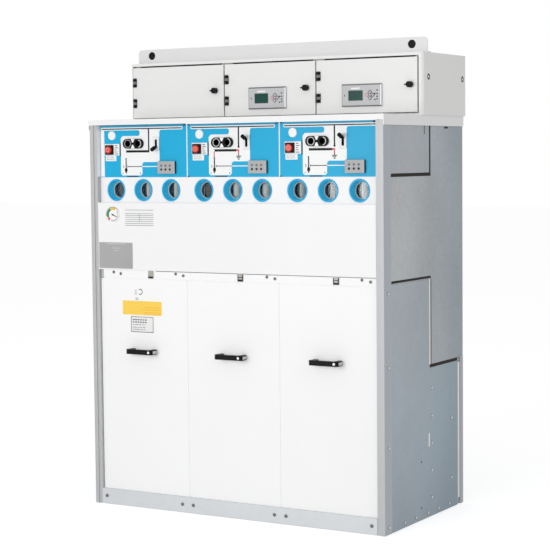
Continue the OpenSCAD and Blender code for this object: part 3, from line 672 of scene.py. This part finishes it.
def mimic_lines(closed, x0, x1):
    """Black lines of the diagram: busbar, feeder, switch bar, cable end and its marks; also a slot
    and a line under the white field, drawn dark as painted shade.
    """
    lines = [
        rect(x0 + 3, x1 - 3, 1275, 1278.6),
        stroke(FEEDER_X, 1275, FEEDER_X, 1202 if closed else 1213, 5.0),
        rect(-68, 26.5 if closed else 15.5, 1197.5, 1205),
        rect(-71, -66.8, 1140, 1180),
        [(-69, 1126), (-63, 1138), (-65, 1145), (-73, 1145), (-75, 1138)],
    ]
    if not closed:
        lines.append(disc(FEEDER_X, 1212, 3.6, 20))
        lines.append(stroke(FEEDER_X, 1190, FEEDER_X, 1183, 3.2))
        lines += earth_marks(FEEDER_X, 1182)
    return lines + [
        rect(-62, -3, 1149.4, 1151.8),
        rect(-63.4, -62, 1146, 1155.2),
        disc(-82, 1128, 1.8, 12),
        disc(-11, 1128, 1.8, 12),
        [(-82, 1155), (-78, 1150.6), (-82, 1146), (-80, 1146), (-76, 1150.6), (-80, 1155)],
        # Painted shade: a dark slot, and a shadow line under the white field
        rect(-94, -90, 1184, 1230, 1.8),
        rect(-66, -20, 1116, 1119, 1.2),
    ]


def add_mimic_panel(name, at):
    """Foil, print, labels and small fittings of a mimic panel, measured from the point at."""
    closed = name == "left"
    x0, x1 = BANDS[name]

    def put(piece, loops, y, thick, look, slot):
        add_prisms(f"{name}_{piece}", loops, y, thick, look, at=at)

    add_plate(f"{name}_mimic_field", FIELD, SOCKET_HOLE, PANEL_Y, FOIL, "film", at)
    bands = [rect(x0, x1, 1272, 1282, 4)]
    if closed:
        bands.append(rect(-172.6, -158, 1117, 1271.8))
    put("mimic_band", bands, PANEL_Y, FOIL, "film", "blue_film")
    # Painted shade: a darker blue strip under the top cover's lip
    put("mimic_top", [rect(x0, x1, 1282.6, 1286.2)], PANEL_Y, LINE, "teal", "blue_film")
    put("mimic_lines", mimic_lines(closed, x0, x1), PANEL_Y - FOIL, LINE, "ink", "black_plastic")
    put("mimic_thin_line", [rect(-3, 59, 1149.2, 1152.2)], PANEL_Y, FOIL, "film", "blue_film")
    if not closed:
        link = [rect(15.5, 26, 1198.6, 1204.6), rect(21.8, 26, 1189, 1198.6)]
        if name == "centre":
            link.append(rect(-71, -67.4, 1180, 1197.5))
        put("mimic_link", link, PANEL_Y - FOIL, 0.35, "redline", "red_plastic")

    add_lathes(f"{name}_position_disc", on_front(PANEL_Y, [DISC_AT], at), POSITION_DISC, "film")
    add_plate(f"{name}_button_label", BUTTON_LABEL, BEZEL_HOLE, PANEL_Y, LABEL, "label",
              at)
    put("low_label", [rect(-153, -109, 1169.5, 1187, 2)], PANEL_Y, LABEL, "label", "dial_white")
    put("label_marks", LABEL_BARS, PANEL_Y - LABEL, INK, "marks", "grey_plastic")
    put("label_signs", LABEL_SIGNS, PANEL_Y - LABEL, INK, "ink", "black_plastic")
    # Painted highlight: a pale ring on each red button
    add_lathes(f"{name}_button_highlight_ring", on_front(BUTTON_Y, [BUTTON_AT], at), BUTTON_HIGHLIGHT, "redpale",
               f"{name}_button", ring=True)

    # Metal rings round the drive sockets, partly painted reflection: paler on the centre and right
    # panels, and a half-ring of painted reflection on each right socket
    add_lathes(f"{name}_socket_rings", on_front(SOCKET_Y, [LEFT_SOCKET], at), SOCKET_RING,
               "ringgrey" if closed else "ringpale", ring=True)
    put("socket_reflection_arcs", [sector(*RIGHT_SOCKET, 11.2, 13.8, -78, 78)], SOCKET_Y, 0.8, "ringpale",
        "grey_plastic")
    put("socket_notches", SOCKET_NOTCHES, SOCKET_Y, FOIL, "film", "dial_white")
    for look, z in INDICATOR_ROWS.items():
        holes = on_front(INDICATOR_Y, [(x, z) for x in INDICATOR_COLUMNS], at)
        add_lathes(f"{name}_indicator_sockets_{look}", holes, INDICATOR_HOLE, look,
                   steps=20)


for name, c in zip(PANELS, CENTRES):
    add_mimic_panel(name, (c, 0.0))

# Windows: pale gaskets on the glass with a painted highlight, lips on the panel, and bands of
# painted shade on the housings behind

GASKET = [(27.9, 0.4), (27.7, 2.4), (26.8, 3.2), (25.9, 2.6), (25.5, 0.4)]
WINDOW_LIP = [(36.9, 0.0), (36.7, 0.5), (31.6, 0.5), (31.4, 0.0)]
DRUM_X, DRUM_Y, DRUM_R = -16.0, -221.0, 17.0
# First and last angle of the painted shade on a housing, for windows that differ from the rest
SHADE_ANGLES = {0: (190, 390), 3: (255, 340), 4: (190, 256), 5: (190, 250)}
USUAL_SHADE_ANGLES = (190, 282)

# Pale rings at the glass's edge: the rim's colour lifted as a painted highlight
add_lathes("window_gaskets", on_front(GLASS_Y, WINDOWS), GASKET, "palerim",
           steps=40, ring=True)
add_lathes("window_lips", on_front(PANEL_Y, WINDOWS), WINDOW_LIP, "bluecone",
           steps=48, ring=True)
drum_shades = [(x + DRUM_X, DRUM_Y, *SHADE_ANGLES.get(k, USUAL_SHADE_ANGLES))
              for k, (x, _) in enumerate(WINDOWS)]
add_shells("drum_painted_shade", drum_shades, WINDOW_Z - 36, WINDOW_Z + 36, DRUM_R + 0.1, 0.5,
           "dark_and_shade")

# Pressure gauge, measured from the dial's middle

GAUGE = (CENTRES[0] - 112, 989.0)
# Piece, first and last angle, look, slot
GAUGE_FIELDS = [
    ("green", 118, 203, "green", "dial_white"),
    ("red", 206, 232, "redline", "red_plastic"),
    ("amber", 62, 115, "amber", "dial_white"),
]
for piece, a0, a1, look, slot in GAUGE_FIELDS:
    add_prisms(f"gauge_{piece}", [sector(0, 0, 16.5, 25, a0, a1)], DIAL_Y, LINE, look,
               at=GAUGE)
rim_shade = [sector(0, 0, 25.6, 27, a, a + 33, 8) for a in range(25, 190, 33)]
add_prisms("gauge_rim_shade", rim_shade, MIDDLE_Y - 4, INK, "ink", at=GAUGE)
ticks = []
for angle in range(-108, 37, 12):
    u, v = math.cos(math.radians(angle)), math.sin(math.radians(angle))
    ticks.append(stroke(18 * u, 18 * v, 22.5 * u, 22.5 * v, 1.4))
add_prisms("gauge_ticks", ticks, DIAL_Y, LINE, "ink", at=GAUGE)
needle = [stroke(-6, 2.4, 15, -6, 2.4), disc(0, 0, 3.2, 20)]
add_prisms("gauge_needle", needle, DIAL_Y - LINE, 0.4, "ink", at=GAUGE)

# Plates and cards on the left panel, with plain bars in place of print

RULES_Z = (953.5, 960, 967, 974, 981, 987, 993, 1005)
rules = [rect(-63, 51, z, z + 1.5) for z in RULES_Z] + [rect(-6, -4.6, 967, 993)]
add_prisms("rating_plate", [rect(-66, 54, 951, 1011, 2)], MIDDLE_Y, PLATE, "label",
           at=LEFT)
add_prisms("rating_rules", rules, MIDDLE_Y - PLATE, INK, "marks", at=LEFT)

streaks = [rect(-138, -60, 890, 893, 1.4), rect(-118, -84, 876, 878.4, 1.1),
           rect(-112, -92, 868, 870, 0.9)]
add_prisms("blank_plate", [rect(-173.5, -35.5, 808.5, 896, 2)], MIDDLE_Y, PLATE, "plate",
           at=LEFT)
add_prisms("plate_streaks", streaks, MIDDLE_Y - PLATE, 0.1, "platemark", at=LEFT)

tag_lines = [rect(x, 68, z, z + 2.2) for x, z in ((4, 678), (-4, 670), (2, 661), (-2, 655.4))]
add_prisms("yellow_tag", [rect(-86, 72, 653, 700, 3)], COVER_Y, CARD, "yellow",
           at=LEFT)
add_prisms("tag_lines", tag_lines, COVER_Y - CARD, 0.15, "orange", at=LEFT)

bar_marks = [rect(-36, -28, z, z + 2.2) for z in (722, 728, 734)]
bar_marks += [rect(-34, -22, z, z + 2.2) for z in (704, 709)]
add_prisms("cover_ring_mark", [sector(-14.6, 731, 7.6, 10, -130, 130, 28)], COVER_Y, INK, "ink",
           at=LEFT)
add_prisms("cover_bar_marks", bar_marks, COVER_Y, INK, "marks", at=LEFT)

card_frame = [rect(-53, 38, 594.6, 597), rect(-53, 38, 645.4, 647.4),
              rect(-53, -50.8, 597, 645.4), rect(35.8, 38, 597, 645.4)]
add_prisms("framed_card", [rect(-54, 39, 594, 648, 2)], COVER_Y, CARD, "box",
           at=LEFT)
add_prisms("card_frame", card_frame, COVER_Y - CARD, INK, "knuckle", at=LEFT)
# Part of the card, look, height of the bars, rows as (z, widths)
CARD_ROWS = [
    ("upper", "ink", 3.4, [(635, (7,) * 6), (627, (7,) * 6)]),
    ("lower", "marks", 2.0, [(619, (6, 14, 9, 12)), (610, (16, 6, 9, 12)), (603, (30, 9, 6))]),
]
for part, look, height, rows in CARD_ROWS:
    bars = [bar for z, widths in rows for bar in text_bars(-46, z, widths, height)]
    add_prisms(f"card_{part}_rows", bars, COVER_Y - CARD, INK, look, at=LEFT)

# Latches, handles and lifting holes

LATCH_X = 31
LATCH_BAR = [rect(-10, 10, 777.6, 783.6)]
LATCH_FRAME = LATCH_BAR + [rect(-10, -7, 783.6, 799), rect(7, 10, 783.6, 799),
                           rect(-7, 7, 790, 792)]
HANDLE_Z = 531.5
HANDLE_CAP = [(4.4, -0.8), (4.4, -0.3), (3.8, 0.0), (0.4, 0.0)]
LIFTING_HOLES = [(-505.5, 1536), (505.5, 1536)]
LIFTING_PLUG = [(13.7, 0.0), (13.7, 1.6), (12.4, 2.2), (9.5, 2.2), (8.8, 1.2), (0.4, 1.0)]

latch_marks, latch_tops = [], []
for c in CENTRES:
    latch_marks += moved(LATCH_BAR if c < 0 else LATCH_FRAME, (c + LATCH_X, 0.0))
    latch_tops += moved([rect(-10, 10, 799.6, 802.8)], (c + LATCH_X, 0.0))
add_prisms("latch_marks", latch_marks, COVER_Y - 3, LINE, "dark_and_shade")
add_prisms("latch_tops", latch_tops, COVER_Y, 2.4, "catch")
add_lathes("handle_caps", on_front(COVER_Y - 36, [(c + 39, HANDLE_Z) for c in CENTRES]),
           HANDLE_CAP, "film")
# Painted highlight: a pale plate on the right side of each handle's foot
for name, c in zip(PANELS, CENTRES):
    end = (COVER_Y - 28, COVER_Y - 4, HANDLE_Z - 4.5, HANDLE_Z + 4.5)
    add_side_plates(f"{name}_handle_end_highlight", [end], c + 52.8, 0.3, "fascia", 1)
add_lathes("lifting_plugs", on_front(12.4, LIFTING_HOLES), LIFTING_PLUG, "black",
           steps=40)

# Relays on the doors, measured from each relay's middle

RELAYS = {"centre": (-10.17, 1375.5), "right": (346.17, 1375.5)}
RELAY_KEYS = [
    ("red", "redline", [(21, 0)]),
    ("grey", "ink", [(31, 9.5), (31, -9.5), (41, 0), (31, 0)]),
]
RELAY_DOTS = [(57, 15), (49, 4), (57, 4), (57, -5), (49, -15), (57, -13)]


def add_relay(name, at):
    """Edges, face, display and keys of a relay, riding on its door."""
    case_y = LV_Y - 6
    face_y = case_y - 1.0

    def put(piece, loops, y, thick, look, slot):
        add_prisms(f"{name}_relay_{piece}", loops, y, thick, look, f"{name}_door", at)

    put("edges", [rect(-72, 72, 33, 36.4), rect(-72, 72, -36.4, -33)], case_y, 0.8, "fasciaedge",
        "grey_plastic")
    put("side", [rect(67, 72, -33, 33)], case_y, 0.8, "film", "dial_white")
    put("face", [rect(-70.5, 66, -32.2, 32.2, 1)], case_y, 1.0, "fascia", "grey_plastic")
    put("left", [rect(-72, -70.6, -33, 33)], case_y, 0.8, "fasciaedge", "grey_plastic")
    put("slot", [rect(-62.5, -60, -3, 3, 0.8)], face_y, 0.4, "dark_and_shade", "black_plastic")
    put("tag", [rect(-38, -6, 19.5, 25)], face_y, 0.3, "label", "dial_white")
    put("lcd_frame", [rect(-48, 5, -17.5, 16, 1.5)], face_y, 0.6, "fasciaedge", "grey_plastic")
    put("lcd", [rect(-46.5, 3.5, -16, 14.5, 0.8)], face_y - 0.6, 0.3, "lcd", "black_plastic")
    for tint, look, spots in RELAY_KEYS:
        put(f"keys_{tint}", [diamond(x, z, 7.4) for x, z in spots], face_y, 0.7, look,
            "grey_plastic")
        put(f"key_tops_{tint}", [diamond(x, z, 5.0) for x, z in spots], face_y - 0.7, 0.5,
            "fascia", "grey_plastic")
    dots = [rect(x - 2.4, x + 2.4, z - 2, z + 2, 1) for x, z in RELAY_DOTS]
    put("dots", dots, face_y, 0.6, "ink", "black_plastic")


for name, at in RELAYS.items():
    add_relay(name, at)


# Stage, light and camera, in metres

FLOOR_HALF, FLOOR_Z = 30.0, -0.001
FLOOR_GREY = (0.86, 0.86, 0.86, 1.0)
FLOOR_GLOW = 0.55
WORLD_FILL = 0.5

# Camera fitted to the photograph: focal length in pixels of its width, angles in degrees
PHOTO_WIDTH = 550.0
FOCAL = 1677.11
YAW, TILT, ROLL = 30.478, 4.064, -0.5527
CAMERA_AT = (2.871, -4.8893, 1.182)
SENSOR = 36.0


def background_rays(tree):
    """1 for the rays that show the white background: seen, mirrored or through glass."""
    path = tree.nodes.new("ShaderNodeLightPath")
    shown = path.outputs["Is Camera Ray"]
    for kind in ("Is Glossy Ray", "Is Transmission Ray"):
        either = tree.nodes.new("ShaderNodeMath")
        either.operation = "MAXIMUM"
        tree.links.new(shown, either.inputs[0])
        tree.links.new(path.outputs[kind], either.inputs[1])
        shown = either.outputs[0]
    return shown


def add_floor():
    """White paper that keeps the object's shadow."""
    s, z = FLOOR_HALF, FLOOR_Z
    mesh = bpy.data.meshes.new("floor")
    mesh.from_pydata([(-s, -s, z), (s, -s, z), (s, s, z), (-s, s, z)], [], [(0, 1, 2, 3)])
    obj = bpy.data.objects.new("floor", mesh)
    bpy.context.scene.collection.objects.link(obj)
    mat, tree, shader = new_material("floor_paper")
    tree.nodes.remove(shader)
    paper = tree.nodes.new("ShaderNodeBsdfDiffuse")
    paper.inputs["Color"].default_value = FLOOR_GREY
    level = tree.nodes.new("ShaderNodeMath")
    level.operation = "MULTIPLY"
    level.inputs[1].default_value = FLOOR_GLOW
    tree.links.new(background_rays(tree), level.inputs[0])
    glow = tree.nodes.new("ShaderNodeEmission")
    tree.links.new(level.outputs[0], glow.inputs["Strength"])
    both = tree.nodes.new("ShaderNodeAddShader")
    tree.links.new(paper.outputs[0], both.inputs[0])
    tree.links.new(glow.outputs[0], both.inputs[1])
    tree.links.new(both.outputs[0], tree.nodes["Material Output"].inputs["Surface"])
    obj.data.materials.append(mat)


def add_world():
    """White where it shows, and a softer fill light."""
    world = bpy.data.worlds.new("studio")
    bpy.context.scene.world = world
    world.use_nodes = True
    tree = world.node_tree
    back = tree.nodes["Background"]
    back.inputs["Color"].default_value = (1, 1, 1, 1)
    level = spread(tree, background_rays(tree), WORLD_FILL, 1.0)
    tree.links.new(level, back.inputs["Strength"])


def add_area(name, spot, target, size, power):
    light = bpy.data.lights.new(name, "AREA")
    light.shape = "RECTANGLE"
    light.size, light.size_y = size
    light.energy = power
    obj = bpy.data.objects.new(name, light)
    bpy.context.scene.collection.objects.link(obj)
    obj.location = spot
    obj.rotation_euler = (Vector(target) - Vector(spot)).to_track_quat("-Z", "Y").to_euler()


def add_camera():
    yaw, tilt, roll = math.radians(YAW), math.radians(TILT), math.radians(ROLL)
    ahead = Vector((-math.sin(yaw), math.cos(yaw), 0))
    level = Vector((math.cos(yaw), math.sin(yaw), 0))
    up = Vector((0, 0, 1))
    view = math.cos(tilt) * ahead - math.sin(tilt) * up
    over = math.sin(tilt) * ahead + math.cos(tilt) * up
    right = math.cos(roll) * level + math.sin(roll) * over
    top = -math.sin(roll) * level + math.cos(roll) * over
    camera = bpy.data.cameras.new("camera")
    camera.sensor_fit = "HORIZONTAL"
    camera.sensor_width = SENSOR
    camera.lens = FOCAL / PHOTO_WIDTH * SENSOR
    camera.clip_end = 100.0
    obj = bpy.data.objects.new("camera", camera)
    bpy.context.scene.collection.objects.link(obj)
    turn = Matrix((right, top, -view)).transposed()
    obj.matrix_world = Matrix.Translation(CAMERA_AT) @ turn.to_4x4()
    bpy.context.scene.camera = obj


add_floor()
add_world()
add_area("key", (-0.7, -4.9, 1.4), (0.1, -0.3, 0.5), (2.8, 2.2), 90)
add_area("side", (4.2, -1.2, 2.2), (0.5, 0.0, 0.7), (2.0, 2.4), 22)
add_camera()
bpy.context.scene.view_settings.view_transform = "Standard"
